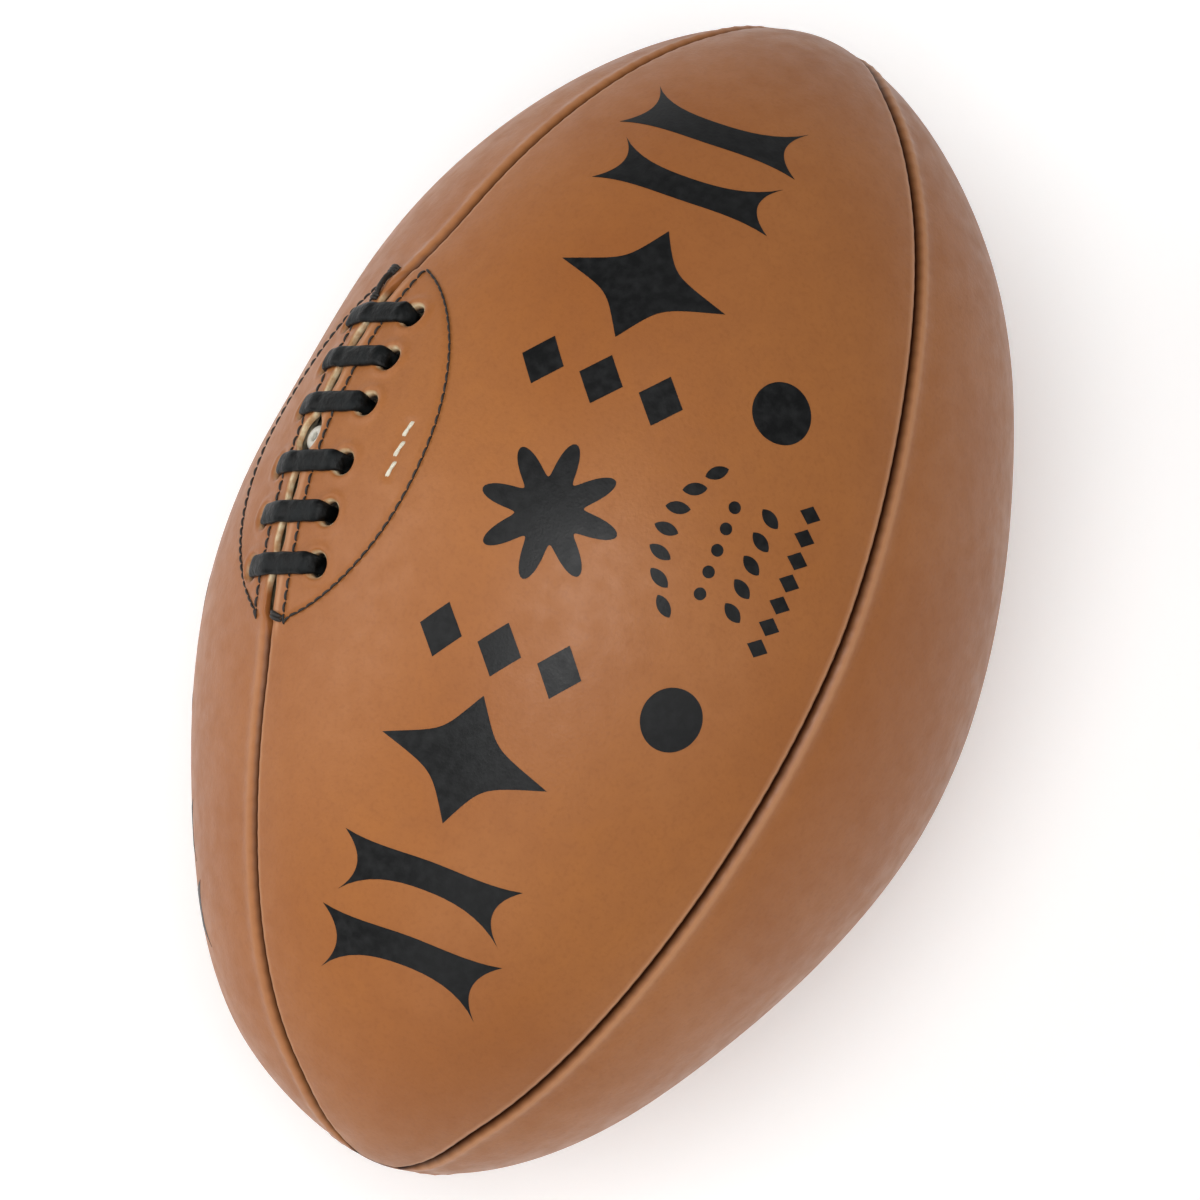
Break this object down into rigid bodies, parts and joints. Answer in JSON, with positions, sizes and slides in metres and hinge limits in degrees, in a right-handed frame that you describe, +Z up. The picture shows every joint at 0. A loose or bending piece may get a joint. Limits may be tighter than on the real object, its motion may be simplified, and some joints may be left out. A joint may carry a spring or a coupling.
{
  "type": "rugby ball",
  "caption": "Traditional laced leather rugby ball: tan panels sewn inside out, black thong lacing over a valve, bladder and linings inside.",
  "frame": {"origin": "centre of the ball, on its long axis half way between the tips", "axes": "+X along the long axis, +Z up through the middle of the front panel as the ball lies on the back panel; the laced seam is 45 degrees round from +Z towards -Y"},
  "size_m": [0.295, 0.188, 0.188],
  "materials": {
    "tan_leather": "smooth burnished tan hide with a soft waxy sheen",
    "canvas": "plain woven cotton canvas, unbleached",
    "pale_leather": "undyed leather, flesh side out",
    "lace_leather": "black oiled thong, slightly crowned",
    "bladder_rubber": "dark butyl rubber",
    "valve_rubber": "pale moulded rubber",
    "seam_thread": "waxed brown linen thread",
    "black_thread": "black waxed thread",
    "white_thread": "undyed waxed thread",
    "print_ink": "matt black stencil ink, worn thin on the hide"
  },
  "bodies": {
    "root": {"panel_front": "tan_leather", "panel_right": "tan_leather", "panel_back": "tan_leather", "panel_left": "tan_leather", "lining_front": "canvas", "lining_right": "canvas", "lining_back": "canvas", "lining_left": "canvas", "facing_front": "pale_leather", "facing_left": "pale_leather", "tongue": "pale_leather", "lace": "lace_leather", "bladder": "bladder_rubber", "valve_housing": "valve_rubber", "valve_core": "bladder_rubber", "seam_thread_front_right": "seam_thread", "seam_thread_right_back": "seam_thread", "seam_thread_back_left": "seam_thread", "seam_thread_lace_upper": "seam_thread", "seam_thread_lace_lower": "seam_thread", "facing_thread_front": "black_thread", "facing_thread_left": "black_thread", "tongue_thread": "white_thread", "slit_tack_upper": "black_thread", "slit_tack_lower": "black_thread"}
  },
  "joints": []
}
